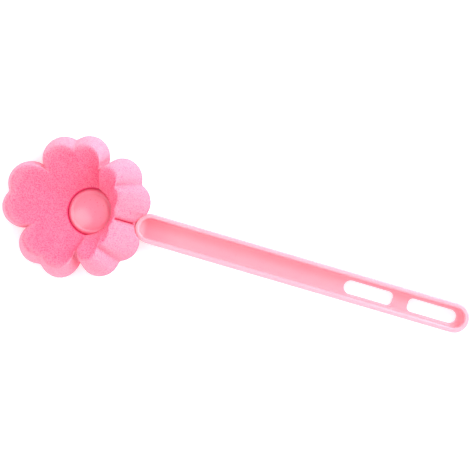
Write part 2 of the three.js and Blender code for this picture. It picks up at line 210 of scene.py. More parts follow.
class ButtonSettings(bpy.types.PropertyGroup):
    """Sizes and colour of the press-in button"""
    diameter: length_prop("Diameter", BUTTON_HIGH[0] - BUTTON_LOW[0], "Diameter of the button")
    rim: length_prop("Rim", 1.5, "Straight height of the button's rim")
    dome: length_prop("Dome", 3.4, "Height of the button's dome above its rim")
    wall: length_prop("Wall", 1.7, "Wall of the hollow dome")
    edge_radius: length_prop("Edge radius", 2.5, "Rounding of the button's shoulder")
    stem_wall: length_prop("Stem wall", 1.5, "Wall of the cored stem")
    stem_bore: length_prop("Stem bore", 6.0, "Depth of the stem's core")
    stem_lead: length_prop("Stem lead", 0.8, "Lead-in at the stem's end")
    stem_gap: length_prop("Stem gap", 0.6, "Gap under the stem's end")
    gate_place: place_prop("Gate place", (-0.4, 3.2, 0.0), "Place of the moulding gate's dimple on the dome")
    gate_radius: length_prop("Gate mark", 0.7, "Radius of the moulding gate's dimple")
    gate_depth: length_prop("Gate depth", 0.12, "Depth of the moulding gate's dimple")
    gloss: share_prop("Gloss", 1.0, "Strength of the button's mirror light")
    colour: colour_prop("Colour", "#ff7894", "Pink of the moulded polypropylene")


class StageSettings(bpy.types.PropertyGroup):
    """The studio: floor, lights and camera"""
    pixel: length_prop("Pixel", 0.51, "Size of one picture point on the bar's rim")
    distance: length_prop("Distance", 850.0, "Distance from the camera to the bar's rim")
    roll: angle_prop("Roll", 16.3, "Turn of the camera about its line of sight")
    aim: place_prop("Aim", (72.8, 9.1, 0.0), "Where the camera's line of sight meets the floor")
    key_size: length_prop("Key light size", 450, "Side of the square key light")
    key_place: place_prop("Key light place", (460, 530, 420), "Place of the key light")
    key_power: power_prop("Key light power", 4.5, "Power of the key light")
    panel_size: length_prop("Panel size", 560, "Side of the panel that the button mirrors")
    panel_place: place_prop("Panel place", (-300, -255, 560), "Place of the panel that the button mirrors")
    panel_aim: place_prop("Panel aim", (0, 0, 15), "Point on the button's dome that the panel faces")
    panel_power: power_prop("Panel power", 2.5, "Power of the panel that the button mirrors")
    tent_side: number_prop("Tent sides", 2.1, "Strength of the light tent near the floor")
    tent_top: number_prop("Tent top", 1.05, "Strength of the light tent overhead")
    floor_reach: length_prop("Floor reach", 1500, "Distance from the origin to the floor's edges")
    floor_glow: number_prop("Floor glow", 0.25, "How brightly the floor is lit from within")
    floor_colour: colour_prop("Floor", "#ffffff", "White of the floor")


def measures(group):
    """A settings group as plain values: lengths in millimetres, colours as tuples, the rest as it is.

    A setting keeps single precision, so lengths are rounded to a few decimals of a millimetre.
    """
    values = {}
    for name in type(group).__annotations__:
        value = getattr(group, name)
        subtype = group.bl_rna.properties[name].subtype
        if subtype == "DISTANCE":
            value = round(value / MM, DECIMALS)
        elif subtype == "TRANSLATION":
            value = np.round(np.array(value) / MM, DECIMALS)
        elif subtype == "COLOR":
            value = tuple(value)
        values[name] = value
    return SimpleNamespace(**values)


# Sockets of a Mix node that mixes colours
MIX_A, MIX_B, MIX_RESULT = 6, 7, 2


def add_node(tree, kind, inputs=(), **options):
    """Adds a node, sets its options, and sets or links its inputs from name and value pairs."""
    node = tree.nodes.new(kind)
    for key, value in options.items():
        setattr(node, key, value)
    for key, value in dict(inputs).items():
        if isinstance(value, bpy.types.NodeSocket):
            tree.links.new(value, node.inputs[key])
        else:
            node.inputs[key].default_value = value
    return node


def new_material(name):
    """An empty node material, its tree and its Principled shader."""
    material = bpy.data.materials.new(name)
    material.use_nodes = True
    tree = material.node_tree
    return material, tree, tree.nodes["Principled BSDF"]


# Moulded polypropylene: lengths and depths in mm, and tints as shares of red, green and blue. The
# satin grain is drawn coarser than the real one, to show
FLOW_LENGTH = 14.0
FLOW_DEPTH = 0.4
FLOW_TINT = (0.97, 0.9, 0.93)
SATIN_GRAIN = 0.9
SATIN_DEPTH = 0.05
SATIN_ROUGHNESS = (0.24, 0.34)
PLASTIC_IOR = 1.49
PLASTIC_GLOW = 0.6
PLASTIC_GLOW_RADIUS = (1.0, 0.5, 0.6)
PLASTIC_GLOW_DEPTH = 4.0

# Painted shade: a deeper pink in the trough, fading along the bar from its nose and up to its rim, in mm
TROUGH_SHADE_TINT = (1.0, 0.7, 0.78)
TROUGH_SHADE_STRENGTH = 0.9
TROUGH_FADE_IN = (3.7, 6.1)
TROUGH_FADE_OUT = (6.5, 24.5)
TROUGH_RIM_FADE = (0.9, 0.3)


def tinted(colour, tint):
    """A linear colour with its red, green and blue multiplied by a tint's."""
    return (*(c * t for c, t in zip(colour, tint)), 1.0)


def trough_painted_shade(tree, place, surface, piece):
    """Mixes painted shade, a deeper pink, into a bar's surface inside its trough, past the scoop and near
    the nose.
    """
    at = add_node(tree, "ShaderNodeSeparateXYZ", {"Vector": place}).outputs
    fade_in, fade_in_end = ((piece.nose_x + distance) * MM for distance in TROUGH_FADE_IN)
    fade_out, fade_out_end = ((piece.nose_x + distance) * MM for distance in TROUGH_FADE_OUT)
    below_rim, at_rim = ((piece.bar_height - depth) * MM for depth in TROUGH_RIM_FADE)
    near_nose = add_node(tree, "ShaderNodeMapRange", {
        "Value": at["X"], "From Min": fade_out, "From Max": fade_out_end,
        "To Min": TROUGH_SHADE_STRENGTH, "To Max": 0.0})
    past_scoop = add_node(tree, "ShaderNodeMapRange", {
        "Value": at["X"], "From Min": fade_in, "From Max": fade_in_end})
    in_trough = add_node(tree, "ShaderNodeMapRange", {
        "Value": at["Z"], "From Min": below_rim, "From Max": at_rim,
        "To Min": past_scoop.outputs["Result"], "To Max": 0.0})
    amount = add_node(tree, "ShaderNodeMath", {
        0: near_nose.outputs["Result"], 1: in_trough.outputs["Result"]}, operation="MULTIPLY")
    mix = add_node(tree, "ShaderNodeMix", {
        "Factor": amount.outputs["Value"], MIX_A: surface, MIX_B: tinted(piece.colour, TROUGH_SHADE_TINT)},
        data_type="RGBA")
    return mix.outputs[MIX_RESULT]


def polypropylene(name, piece, trough=False):
    """Pink polypropylene, injection moulded, for a piece given by its measures, with or without painted
    shade in a trough.
    """
    # To the eye: a satin skin with faint waves from the flow in the mould, and light that sinks in
    material, tree, shader = new_material(name)
    place = add_node(tree, "ShaderNodeTexCoord").outputs["Object"]
    flow = add_node(tree, "ShaderNodeTexNoise", {
        "Vector": place, "Scale": 1 / (FLOW_LENGTH * MM), "Detail": 2.0})
    grain = add_node(tree, "ShaderNodeTexNoise", {
        "Vector": place, "Scale": 1 / (SATIN_GRAIN * MM), "Detail": 3.0})
    tint = add_node(tree, "ShaderNodeMix", {
        "Factor": flow.outputs["Fac"], MIX_A: tinted(piece.colour, FLOW_TINT), MIX_B: piece.colour},
        data_type="RGBA")
    surface = tint.outputs[MIX_RESULT]
    # Painted shade in the trough near the nose
    if trough:
        surface = trough_painted_shade(tree, place, surface, piece)
    tree.links.new(surface, shader.inputs["Base Color"])
    rough = add_node(tree, "ShaderNodeMapRange", {
        "Value": grain.outputs["Fac"], "To Min": SATIN_ROUGHNESS[0], "To Max": SATIN_ROUGHNESS[1]})
    tree.links.new(rough.outputs["Result"], shader.inputs["Roughness"])
    waves = add_node(tree, "ShaderNodeBump", {
        "Height": flow.outputs["Fac"], "Strength": 0.12, "Distance": FLOW_DEPTH * MM})
    skin = add_node(tree, "ShaderNodeBump", {
        "Height": grain.outputs["Fac"], "Strength": 0.05, "Distance": SATIN_DEPTH * MM,
        "Normal": waves.outputs["Normal"]})
    tree.links.new(skin.outputs["Normal"], shader.inputs["Normal"])
    shader.inputs["IOR"].default_value = PLASTIC_IOR
    shader.inputs["Specular IOR Level"].default_value = piece.gloss
    shader.inputs["Subsurface Weight"].default_value = PLASTIC_GLOW
    shader.inputs["Subsurface Radius"].default_value = PLASTIC_GLOW_RADIUS
    shader.inputs["Subsurface Scale"].default_value = PLASTIC_GLOW_DEPTH * MM
    return material


# Open-cell foam: sizes of its patterns in mm, and how strongly each darkens or pales the surface
MOTTLE_SIZE = 9.0
MOTTLE_TINT = (1.0, 1.2, 1.1)
SPECK_SIZE = 0.6
SPECK_RANGE = (0.45, 0.68)
DOT_SPACING = 1.0
DOT_PATCH_SIZE = 2.2
DOT_PATCH_RANGE = (0.4, 0.65)
DOT_RADIUS = (0.08, 0.42)
DOT_CORE = 0.05
SPECK_STRENGTH = 0.75
PIT_STRENGTH = 0.4
# Strength of the painted shade in a crevice
CREVICE_STRENGTH = 0.5
CELL_WALL_SHARE = 0.55
CELL_WALL_RANGE = (0.15, 0.55)
CELL_WALL_DEPTH = 0.25
# Painted glow: the crimson shade lit from within where it is deep, standing in for bounced red light
PAINTED_GLOW = 0.16
PAINTED_GLOW_START = 0.4
PAINTED_GLOW_COLOUR = "#ff2776"
FOAM_GLOW = 0.3
FOAM_GLOW_RADIUS = (1.0, 0.3, 0.4)
FOAM_GLOW_DEPTH = 3.0
FOAM_SHEEN_COLOUR = "#ffe1ed"


def polyurethane_foam(name, foam):
    """Open-cell polyurethane foam, die-cut from a slab: colours laid over each other, one by one."""
    # To the eye: matte, speckled with darker cells, and paler where it is cut, partly as painted light.
    # Painted shade lies beside a fold, and a painted crimson shade with a painted glow beside the button
    # and in the creases. The cells are drawn coarser than real ones, to show
    material, tree, shader = new_material(name)
    place = add_node(tree, "ShaderNodeTexCoord").outputs["Object"]
    stored = {key: add_node(tree, "ShaderNodeAttribute", attribute_name=key).outputs["Fac"]
              for key in ("pore", "cut", "crevice", "deep")}
    mottle = add_node(tree, "ShaderNodeTexNoise", {
        "Vector": place, "Scale": 1 / (MOTTLE_SIZE * MM), "Detail": 3.0})
    grain = add_node(tree, "ShaderNodeTexNoise", {
        "Vector": place, "Scale": 1 / (SPECK_SIZE * MM), "Detail": 2.0})
    specks = add_node(tree, "ShaderNodeMapRange", {
        "Value": grain.outputs["Fac"], "From Min": SPECK_RANGE[0], "From Max": SPECK_RANGE[1],
        "To Max": SPECK_STRENGTH})
    patch = add_node(tree, "ShaderNodeTexNoise", {
        "Vector": place, "Scale": 1 / (DOT_PATCH_SIZE * MM), "Detail": 1.0})
    dot_radius = add_node(tree, "ShaderNodeMapRange", {
        "Value": patch.outputs["Fac"], "From Min": DOT_PATCH_RANGE[0], "From Max": DOT_PATCH_RANGE[1],
        "To Min": DOT_RADIUS[0], "To Max": DOT_RADIUS[1]})
    from_dot = add_node(tree, "ShaderNodeTexVoronoi", {"Vector": place, "Scale": 1 / (DOT_SPACING * MM)})
    dots = add_node(tree, "ShaderNodeMapRange", {
        "Value": from_dot.outputs["Distance"], "From Min": dot_radius.outputs["Result"],
        "From Max": DOT_CORE, "To Max": SPECK_STRENGTH})
    pits = add_node(tree, "ShaderNodeMapRange", {"Value": stored["pore"], "To Max": PIT_STRENGTH})
    shade = add_node(tree, "ShaderNodeMapRange", {"Value": stored["crevice"], "To Max": CREVICE_STRENGTH})
    cell = add_node(tree, "ShaderNodeMix", {
        "Factor": stored["cut"], MIX_A: foam.pore_colour, MIX_B: foam.cut_and_lit_pore_colour}, data_type="RGBA")
    layers = [
        (mottle.outputs["Fac"], tinted(foam.colour, MOTTLE_TINT)),
        # Paler cut pink, partly painted light, which also paints highlights along edges
        (stored["cut"], foam.cut_and_lit_colour),
        (specks.outputs["Result"], cell.outputs[MIX_RESULT]),
        (dots.outputs["Result"], cell.outputs[MIX_RESULT]),
        (pits.outputs["Result"], cell.outputs[MIX_RESULT]),
        # Painted shade in the crevice
        (shade.outputs["Result"], foam.pore_colour),
        # Painted crimson shade beside the button and in the creases
        (stored["deep"], foam.crimson_shade_colour),
    ]
    surface = foam.colour
    for amount, colour in layers:
        mix = add_node(tree, "ShaderNodeMix", {
            "Factor": amount, MIX_A: surface, MIX_B: colour}, data_type="RGBA")
        surface = mix.outputs[MIX_RESULT]
    tree.links.new(surface, shader.inputs["Base Color"])
    # Painted glow in the deep crimson shade
    glow = add_node(tree, "ShaderNodeMapRange", {
        "Value": stored["deep"], "From Min": PAINTED_GLOW_START, "To Max": PAINTED_GLOW})
    tree.links.new(glow.outputs["Result"], shader.inputs["Emission Strength"])
    shader.inputs["Emission Color"].default_value = linear(PAINTED_GLOW_COLOUR)
    from_cell = add_node(tree, "ShaderNodeTexVoronoi", {
        "Vector": place, "Scale": 1 / (CELL_WALL_SHARE * foam.pore * MM)})
    walls = add_node(tree, "ShaderNodeMapRange", {
        "Value": from_cell.outputs["Distance"], "From Min": CELL_WALL_RANGE[0],
        "From Max": CELL_WALL_RANGE[1]})
    bump = add_node(tree, "ShaderNodeBump", {
        "Height": walls.outputs["Result"], "Strength": 0.35, "Distance": CELL_WALL_DEPTH * MM})
    tree.links.new(bump.outputs["Normal"], shader.inputs["Normal"])
    shader.inputs["Roughness"].default_value = 0.95
    shader.inputs["Specular IOR Level"].default_value = 0.15
    shader.inputs["Subsurface Weight"].default_value = FOAM_GLOW
    shader.inputs["Subsurface Radius"].default_value = FOAM_GLOW_RADIUS
    shader.inputs["Subsurface Scale"].default_value = FOAM_GLOW_DEPTH * MM
    shader.inputs["Sheen Weight"].default_value = 0.12
    shader.inputs["Sheen Roughness"].default_value = 0.6
    shader.inputs["Sheen Tint"].default_value = linear(FOAM_SHEEN_COLOUR)
    return material


# Grain of the studio board in mm, and its roughness
BOARD_GRAIN = 30.0
BOARD_ROUGHNESS = (0.85, 0.95)


def white_board(name, stage):
    """Seamless white studio board, matte and lit from within like a light table."""
    # To the eye: plain white, with no edge and hardly a shadow
    material, tree, shader = new_material(name)
    place = add_node(tree, "ShaderNodeTexCoord").outputs["Object"]
    grain = add_node(tree, "ShaderNodeTexNoise", {"Vector": place, "Scale": 1 / (BOARD_GRAIN * MM)})
    rough = add_node(tree, "ShaderNodeMapRange", {
        "Value": grain.outputs["Fac"], "To Min": BOARD_ROUGHNESS[0], "To Max": BOARD_ROUGHNESS[1]})
    tree.links.new(rough.outputs["Result"], shader.inputs["Roughness"])
    shader.inputs["Base Color"].default_value = stage.floor_colour
    shader.inputs["Emission Color"].default_value = stage.floor_colour
    shader.inputs["Emission Strength"].default_value = stage.floor_glow
    return material


# Steps of rounded edges, corners and turned solids
EDGE_STEPS = 6
SLOT_EDGE_STEPS = 4
SCOOP_STEPS = 16
CORNER_STEPS = 14
SHOULDER_STEPS = 20
DOME_RINGS = 60
HANDLE_TURNS = 128
BUTTON_TURNS = 160

# Least distance and area that count as any, and the angles past which an edge is sharp
SAME_POINT = 1e-6
NO_AREA = 1e-9
HANDLE_SHARP_EDGE = np.radians(32)
BUTTON_SHARP_EDGE = np.radians(35)


def link_mesh(name, points, faces, material):
    """Puts points in millimetres and lists of corners into a new smooth mesh object at the origin."""
    mesh = bpy.data.meshes.new(name)
    mesh.from_pydata(np.asarray(points) * MM, [], faces)
    mesh.validate()
    mesh.update()
    mesh.polygons.foreach_set("use_smooth", np.ones(len(mesh.polygons), dtype=bool))
    if material is not None:
        mesh.materials.append(material)
    piece = bpy.data.objects.new(name, mesh)
    bpy.context.scene.collection.objects.link(piece)
    return piece


def grid_faces(rows, columns, wrap_rows=False):
    """Quads of a grid of rows and columns of points, numbered row by row, each row a closed ring."""
    row = np.arange(rows if wrap_rows else rows - 1)
    column = np.arange(columns)
    r0, c0 = (index.ravel() for index in np.meshgrid(row, column, indexing="ij"))
    r1 = (r0 + 1) % rows
    c1 = (c0 + 1) % columns
    corners = [r0 * columns + c0, r0 * columns + c1, r1 * columns + c1, r1 * columns + c0]
    return np.column_stack(corners).tolist()


def quarter_round(radius, steps=EDGE_STEPS):
    """Insets and rises of a quarter circle, from lying flat to standing upright."""
    angle = np.linspace(0, np.pi / 2, steps + 1)
    return radius * (1 - np.sin(angle)), radius * (1 - np.cos(angle))


def ring_solid(name, rings, material=None):
    """A closed solid through rings of equal count, turning anticlockwise, with flat end caps."""
    rings = np.asarray(rings)
    rows, columns = rings.shape[:2]
    faces = grid_faces(rows, columns)
    faces.append(list(range(columns))[::-1])
    faces.append(list(range((rows - 1) * columns, rows * columns)))
    return link_mesh(name, rings.reshape(-1, 3), faces, material)


def rounded_outline(x0, x1, half, corner0, corner1, z):
    """A rectangle's outline at height z with round corners: one radius at x0, another at x1."""
    sweep = np.linspace(0, np.pi / 2, CORNER_STEPS + 1)
    corners = [
        (x1 - corner1, corner1 - half, corner1, -np.pi / 2),
        (x1 - corner1, half - corner1, corner1, 0.0),
        (x0 + corner0, half - corner0, corner0, np.pi / 2),
        (x0 + corner0, corner0 - half, corner0, np.pi),
    ]
    points = np.vstack([
        np.column_stack([x + radius * np.cos(start + sweep), y + radius * np.sin(start + sweep)])
        for x, y, radius, start in corners])
    apart = np.linalg.norm(points - np.roll(points, 1, axis=0), axis=1) > SAME_POINT
    points = points[apart]
    return np.column_stack([points, np.full(len(points), z)])


def bar_outline(handle, inset, z):
    """The bar's round-ended outline, drawn in by an inset."""
    radius = handle.bar_width / 2 - inset
    return rounded_outline(handle.nose_x + inset, handle.tip_x - inset, radius, radius, radius, z)


def plate_along_y(name, points, width):
    """A block along Y whose outline in X and Z turns anticlockwise."""
    points = np.asarray(points, float)
    far = np.column_stack([points[:, 0], np.full(len(points), width / 2), points[:, 1]])
    near = far * (1, -1, 1)
    return ring_solid(name, [far, near])


def revolved(name, profile, material=None, turns=HANDLE_TURNS):
    """A solid of revolution about Z: radius and height pairs, from the lower pole to the upper one."""
    radius, height = np.asarray(profile, float).T
    angle = np.arange(turns) * TURN / turns
    body = np.stack([
        radius[1:-1, None] * np.cos(angle), radius[1:-1, None] * np.sin(angle),
        np.repeat(height[1:-1, None], turns, axis=1)], axis=-1)
    rows = len(body)
    points = np.vstack([body.reshape(-1, 3), [(0, 0, height[0]), (0, 0, height[-1])]])
    ring = np.arange(turns)
    after = (ring + 1) % turns
    low_pole = rows * turns
    top = (rows - 1) * turns
    faces = grid_faces(rows, turns)
    faces += np.column_stack([after, ring, np.full(turns, low_pole)]).tolist()
    faces += np.column_stack([top + ring, top + after, np.full(turns, low_pole + 1)]).tolist()
    return link_mesh(name, points, faces, material)


def combine(piece, tool, operation):
    """Joins a tool solid to a piece or cuts it away, and deletes the tool."""
    change = piece.modifiers.new(operation.lower(), "BOOLEAN")
    change.operation = operation
    change.object = tool
    change.solver = "EXACT"
    with bpy.context.temp_override(object=piece, active_object=piece):
        bpy.ops.object.modifier_apply(modifier=change.name)
    mesh = tool.data
    bpy.data.objects.remove(tool)
    bpy.data.meshes.remove(mesh)
    return piece


def close_seams(piece):
    """Merges the doubled points that joining and cutting leave along a piece's seams."""
    mesh = bmesh.new()
    mesh.from_mesh(piece.data)
    bmesh.ops.remove_doubles(mesh, verts=mesh.verts, dist=DOUBLED_POINT * MM)
    mesh.to_mesh(piece.data)
    mesh.free()


def bar_block(handle, material):
    """The bar's outer block: its outline carried up through rounded back edges and rim."""
    inset, rise = quarter_round(handle.edge_radius)
    back = [bar_outline(handle, i, z) for i, z in zip(inset, rise)]
    inset, drop = (values[::-1] for values in quarter_round(handle.rim_rounding))
    rim = [bar_outline(handle, i, handle.bar_height - d) for i, d in zip(inset, drop)]
    return ring_solid("handle", back + rim, material)


def nose_scoop(handle):
    """Fill at the trough's nose end: a hollow quarter-ellipse from the floor up to the rim."""
    start = handle.nose_x + handle.rim_width
    foot = start + handle.scoop_length
    top = handle.bar_height - handle.scoop_lip
    along, up = quarter_round(1.0, SCOOP_STEPS)
    curve = np.column_stack([start + handle.scoop_length * along,
                             handle.floor_thickness + (top - handle.floor_thickness) * up])
    outline = np.vstack([[(handle.nose_x, -OVERCUT), (foot, -OVERCUT)], curve, [(handle.nose_x, top)]])
    return plate_along_y("nose_scoop", outline, handle.bar_width)


def trough_space(handle):
    """The space inside the trough: filleted floor, drafted walls and rounded rim, less the scoop."""
    foot = handle.rim_width + handle.wall_draft
    inset, rise = quarter_round(handle.floor_fillet)
    floor = [bar_outline(handle, foot + i, handle.floor_thickness + z) for i, z in zip(inset, rise)]
    drop, inset = quarter_round(handle.rim_rounding)
    rim = [bar_outline(handle, handle.rim_width - i, handle.bar_height - d) for i, d in zip(inset, drop)]
    above = bar_outline(handle, handle.rim_width - handle.rim_rounding, handle.bar_height + OVERCUT)
    return combine(ring_solid("trough_space", floor + rim + [above]), nose_scoop(handle), "DIFFERENCE")


def slot_space(handle, x0, x1, corner0, corner1):
    """The space of one slot, flared at both faces of the floor so that its edges come out round."""
    flare, rise = quarter_round(handle.slot_edge, SLOT_EDGE_STEPS)
    flares = [handle.slot_edge, *flare, *flare[::-1], handle.slot_edge]
    heights = [-OVERCUT, *rise, *(handle.floor_thickness - rise[::-1]), handle.bar_height]
    half = handle.slot_width / 2
    rings = [rounded_outline(x0 - f, x1 + f, half + f, corner0 + f, corner1 + f, z)
             for f, z in zip(flares, heights)]
    return ring_solid("slot_space", rings)


def slot_spaces(handle):
    """The two hanging slots, set out from the tip: round outer ends, and smaller corners at the bridge."""
    outer_end = handle.tip_x - handle.slot_end_wall
    outer_start = outer_end - handle.slot_length
    inner_end = outer_start - handle.slot_bridge
    inner_start = inner_end - handle.slot_length
    half = handle.slot_width / 2
    return [slot_space(handle, inner_start, inner_end, half, handle.slot_corner),
            slot_space(handle, outer_start, outer_end, handle.slot_corner, half)]


def seat_plate(handle):
    """The round seat plate: a disc with rounded edges, turned about Z."""
    inset, rise = quarter_round(handle.seat_edge)
    radius = handle.seat_diameter / 2 - inset
    upper = zip(radius[::-1], handle.seat_thickness - rise[::-1])
    return revolved("seat", [(0, 0), *zip(radius, rise), *upper, (0, handle.seat_thickness)])


def neck(handle):
    """The neck from the seat plate to the bar: a plate with a ramp up to the bar's nose."""
    end = handle.nose_x + handle.rim_width
    top = handle.seat_thickness + handle.neck_rise
    ramp_foot = handle.seat_diameter / 2 + handle.neck_gap
    outline = [(0, 0), (end, 0), (end, top), (handle.nose_x, top), (ramp_foot, handle.seat_thickness),
               (0, handle.seat_thickness)]
    return plate_along_y("neck", outline, handle.neck_width)


def spigot(handle):
    """The spigot: a post with a chamfered mouth, turned about Z."""
    radius = handle.spigot_diameter / 2
    mouth = handle.spigot_top - handle.spigot_chamfer
    return revolved("spigot", [(0, 0), (radius, 0), (radius, mouth),
                               (radius - handle.spigot_chamfer, handle.spigot_top), (0, handle.spigot_top)])


def socket_space(handle):
    """The blind socket inside the spigot, turned about Z."""
    radius = handle.spigot_diameter / 2 - handle.spigot_wall
    above = handle.spigot_top + OVERCUT
    return revolved("socket", [(0, handle.socket_floor), (radius, handle.socket_floor), (radius, above),
                               (0, above)])


def handle_mesh(handle, material):
    """The handle as one moulding: bar, neck, seat plate and spigot joined, then hollowed and slotted."""
    piece = bar_block(handle, material)
    for solid in (neck(handle), seat_plate(handle), spigot(handle)):
        combine(piece, solid, "UNION")
    for space in (trough_space(handle), *slot_spaces(handle), socket_space(handle)):
        combine(piece, space, "DIFFERENCE")
    close_seams(piece)
    piece.data.polygons.foreach_set("use_smooth", np.ones(len(piece.data.polygons), dtype=bool))
    piece.data.set_sharp_from_angle(angle=HANDLE_SHARP_EDGE)
    weights = piece.modifiers.new("flat_faces", "WEIGHTED_NORMAL")
    weights.keep_sharp = True
    return piece


def dome_height(radius, button):
    """Height of the button's dome above its rim: a shallow spherical cap."""
    rim = button.diameter / 2
    sphere = (rim ** 2 + button.dome ** 2) / (2 * button.dome)
    return np.sqrt(sphere ** 2 - np.asarray(radius) ** 2) - (sphere - button.dome)


def button_mesh(button, handle, material):
    """The button: a profile turned about Z, from the stem's core out under the dome and over it.

    The dome's edge is a rounded shoulder, and the gate's mark is a bell-shaped dimple.
    """
    base = handle.spigot_top + CLEARANCE
    spigot_radius = handle.spigot_diameter / 2
    stem = spigot_radius - handle.spigot_wall - CLEARANCE
    stem_end = handle.socket_floor + button.stem_gap
    bore = stem - button.stem_wall
    rim = button.diameter / 2
    inner = rim - button.wall
    shoulder = base + button.rim
    cap_start = rim - button.edge_radius
    inset, drop = (values[::-1] for values in quarter_round(button.edge_radius, SHOULDER_STEPS))
    edge = list(zip(rim - inset, shoulder + dome_height(cap_start, button) - drop))[:-1]
    cap_radius = cap_start * np.linspace(1, 0, DOME_RINGS)
    cap = list(zip(cap_radius, shoulder + dome_height(cap_radius, button)))
    profile = [
        (0, stem_end + button.stem_bore), (bore, stem_end + button.stem_bore), (bore, stem_end),
        (stem - button.stem_lead / 2, stem_end), (stem, stem_end + button.stem_lead), (stem, base),
        (spigot_radius, base), (spigot_radius, shoulder + dome_height(spigot_radius, button) - button.wall),
        (inner, max(shoulder + dome_height(inner, button) - button.wall, base + CLEARANCE)),
        (inner, base), (rim, base), *edge, *cap]
    piece = revolved("button", profile, material, turns=BUTTON_TURNS)
    points = np.empty(len(piece.data.vertices) * 3)
    piece.data.vertices.foreach_get("co", points)
    points = points.reshape(-1, 3)
    away = np.linalg.norm(points[:, :2] - button.gate_place[:2] * MM, axis=1) / (button.gate_radius * MM)
    on_top = points[:, 2] > shoulder * MM
    points[:, 2] -= on_top * button.gate_depth * MM * np.exp(-away ** 2)
    piece.data.vertices.foreach_set("co", points.ravel())
    piece.data.update()
    piece.data.set_sharp_from_angle(angle=BUTTON_SHARP_EDGE)
    return piece


# Rows and columns of the foam's surface
COLUMNS_PER_LOBE = 56
UNDER_ROWS = 8
BACK_ROWS = 20
BACK_CORNER_ROWS = 5
SIDE_ROWS = 28
FRONT_CORNER_ROWS = 8
FRONT_ROWS = 44
LIP_ROWS = 4
WALL_ROWS = 4
LEDGE_ROWS = 6
HOLE_ROWS = 8

# Fold of the raised petals: its step on either side as a share, and how far each side of it fades
FOLD_EVEN = 0.75
FOLD_SWING = 0.25
FOLD_DROP = 0.5
FOLD_BLEND = np.radians(1.2)
FOLD_RISE_REACH = np.radians(16)
FOLD_DROP_REACH = np.radians(12)
# Painted highlight along the raised edge of a fold and how far it reaches, and the reach of the painted
# shade beside it
FOLD_HIGHLIGHT = 0.45
FOLD_HIGHLIGHT_REACH = np.radians(4)
FOLD_SHADE_REACH = np.radians(9)

# Lip of the foam over the button: shares of the overhang, of the clearance and of the button's rim
OVERHANG_SPREAD = 0.7
LIP_RISE = 0.55
WALL_RISE = 0.2
WALL_GAP = 0.4
WALL_HEIGHT = 0.95

# Front edges: how much sharper they are beside the handle, how strong their painted highlight is, and its
# fades in mm
NEAR_SHARPER = 0.6
EDGE_HIGHLIGHT = 0.65
EDGE_HIGHLIGHT_SWING = 0.45
EDGE_HIGHLIGHT_FADE = 0.4
EDGE_HIGHLIGHT_FADE_SWING = 2.2

# Painted crimson shade round the button and in the creases: shares on the front's last row, in the hole, and
# in the creases past a share of depth
LIP_SHADE = 0.6
HOLE_SHADE = 0.4
CREASE_SHADE = 0.6
CREASE_SHADE_START = 0.5

# Crease at the bar's nose: its width in mm, how much deeper it is and how much narrower
NOSE_CREASE = 6.0
NOSE_DEEPER = 0.6
NOSE_NARROWER = 0.5

# Open cells: radius of a pit against its spacing, its shape and tone, the same of the finer ones, and
# how far round the button the foam is smooth, in mm
PIT_RADIUS = 0.42
PIT_ROUNDNESS = 0.7
PIT_TONE = 0.8
FINE_SPACING = 0.6
FINE_RADIUS = 0.4
FINE_DEPTH = 0.5
FINE_TONE = 0.35
FINE_SALT = 7.3
SMOOTH_BY_BUTTON = 1.0

# Numbers of the sine hash that scatters the cells
HASH_WAVES = np.array([[127.1, 269.5, 113.5], [311.7, 183.3, 271.9], [74.7, 246.1, 124.6]])
HASH_SPREAD = 43758.5453


def flower_radius(angle, foam):
    """Distance from the flower's centre to its cut edge: the farthest reach of its lobes' circles.

    Where two lobes stand apart, it is the reach of the web between them. The root of a sum of high
    powers, in place of the plain maximum, rounds the notches.
    """
    axes = np.pi / foam.petals + np.arange(foam.petals) * TURN / foam.petals
    lobes = np.concatenate([axes - foam.lobe_spread, axes + foam.lobe_spread])
    turn = angle[:, None] - lobes[None, :]
    beyond = foam.lobe_radius ** 2 - (foam.lobe_centre * np.sin(turn)) ** 2
    reach = np.maximum(foam.lobe_centre * np.cos(turn) + np.sqrt(np.maximum(beyond, 0)), 0)
    return (reach ** foam.blend).sum(axis=1) ** (1 / foam.blend)


def petal_angles(angle, foam):
    """Each column's turn from its petal's axis as a share of the pitch, and the angle of its tilt.

    The tilt stays near the petal's axis and changes quickly at its borders: the turn's power.
    """
    pitch = TURN / foam.petals
    turn = angle / pitch - 0.5
    petal = np.round(turn)
    within = turn - petal
    tilt = (petal + 0.5 + np.sign(within) * 0.5 * np.abs(2 * within) ** foam.crease) * pitch
    return within, tilt


def keep_off(points, centre_x, least):
    """Moves points in plan out of an upright cylinder at centre_x on the X axis."""
    moved = points.copy()
    away = points[:, :2] - (centre_x, 0)
    distance = np.linalg.norm(away, axis=1)
    grow = np.maximum(1, least / np.maximum(distance, SAME_POINT))
    moved[:, :2] = away * grow[:, None] + (centre_x, 0)
    return moved


def toward(start, end, distance):
    """Points a set distance from start towards end."""
    along = end - start
    return start + along * (distance / np.linalg.norm(along, axis=1))[:, None]


def fading(distance, reach):
    """A share that is 1 at no distance or less and then falls off exponentially over the reach."""
    return np.exp(-np.maximum(distance, 0) / reach)


def straight_rows(start, end, count, first=True):
    """Straight rows of points from start to end."""
    share = np.linspace(0, 1, count + 1)[0 if first else 1:]
    return [start + (end - start) * t for t in share]


def corner_rows(start, corner, end, count):
    """Rows of a quadratic curve from start to end that is drawn towards the corner."""
    share = np.linspace(0, 1, count + 1)[1:]
    return [start * (1 - t) ** 2 + corner * 2 * t * (1 - t) + end * t ** 2 for t in share]


